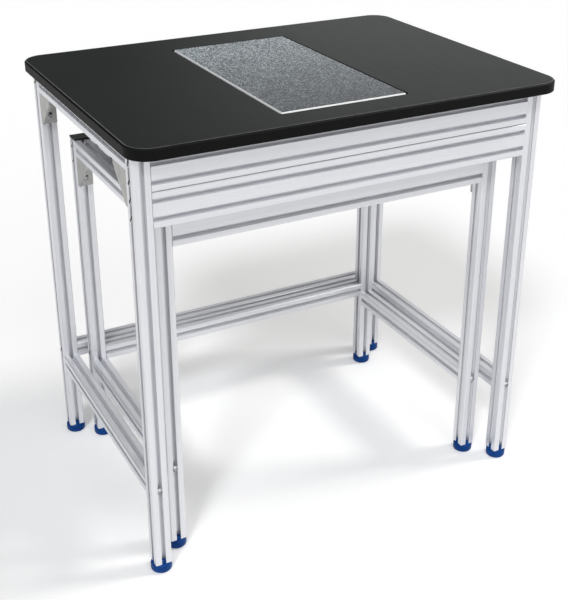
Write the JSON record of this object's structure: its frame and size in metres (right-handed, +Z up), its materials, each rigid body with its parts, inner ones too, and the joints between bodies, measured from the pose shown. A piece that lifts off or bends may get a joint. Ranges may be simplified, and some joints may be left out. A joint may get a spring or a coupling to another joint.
{
  "type": "anti-vibration weighing table",
  "caption": "Weighing table: a stone slab on its own slotted-profile frame, standing free inside a second frame that carries a dark worktop with rounded corners.",
  "frame": {"origin": "on the floor under the middle of the worktop", "axes": "+Z up, +X to the operator's right, the operator stands at -Y"},
  "size_m": [0.8, 0.6, 0.801],
  "materials": {
    "laminate": "satin compact laminate, near black",
    "granite": "honed speckled granite",
    "anodised_profile": "natural anodised, satin",
    "cast_bracket": "die cast, blasted",
    "blue_plastic": "moulded plastic",
    "black_plastic": "moulded plastic",
    "rubber": "damping rubber"
  },
  "bodies": {
    "root": {"apron_rail_lower": "anodised_profile", "apron_rail_upper": "anodised_profile", "damping_pad_front_left": "rubber", "damping_pad_front_right": "rubber", "damping_pad_rear_left": "rubber", "damping_pad_rear_right": "rubber", "end_cap_front_left": "black_plastic", "end_cap_front_right": "black_plastic", "end_cap_rear_left": "black_plastic", "end_cap_rear_right": "black_plastic", "inner_foot_front_left": "blue_plastic", "inner_foot_front_right": "blue_plastic", "inner_foot_rear_left": "blue_plastic", "inner_foot_rear_right": "blue_plastic", "inner_front_rail": "anodised_profile", "inner_gusset_front_left": "cast_bracket", "inner_gusset_front_right": "cast_bracket", "inner_gusset_rear_left": "cast_bracket", "inner_gusset_rear_right": "cast_bracket", "inner_leg_front_left": "anodised_profile", "inner_leg_front_right": "anodised_profile", "inner_leg_rear_left": "anodised_profile", "inner_leg_rear_right": "anodised_profile", "inner_rear_rail": "anodised_profile", "inner_rear_stretcher": "anodised_profile", "inner_side_rail_left": "anodised_profile", "inner_side_rail_right": "anodised_profile", "inner_side_stretcher_left": "anodised_profile", "inner_side_stretcher_right": "anodised_profile", "outer_foot_front_left": "blue_plastic", "outer_foot_front_right": "blue_plastic", "outer_foot_rear_left": "blue_plastic", "outer_foot_rear_right": "blue_plastic", "outer_gusset_front_left": "cast_bracket", "outer_gusset_front_right": "cast_bracket", "outer_gusset_rear_left": "cast_bracket", "outer_gusset_rear_right": "cast_bracket", "outer_leg_front_left": "anodised_profile", "outer_leg_front_right": "anodised_profile", "outer_leg_rear_left": "anodised_profile", "outer_leg_rear_right": "anodised_profile", "outer_rear_rail": "anodised_profile", "outer_rear_stretcher": "anodised_profile", "outer_side_rail_left": "anodised_profile", "outer_side_rail_right": "anodised_profile", "outer_side_stretcher_left": "anodised_profile", "outer_side_stretcher_right": "anodised_profile", "slab_bearer_left": "anodised_profile", "slab_bearer_right": "anodised_profile", "weighing_slab": "granite", "worktop": "laminate"}
  },
  "joints": []
}
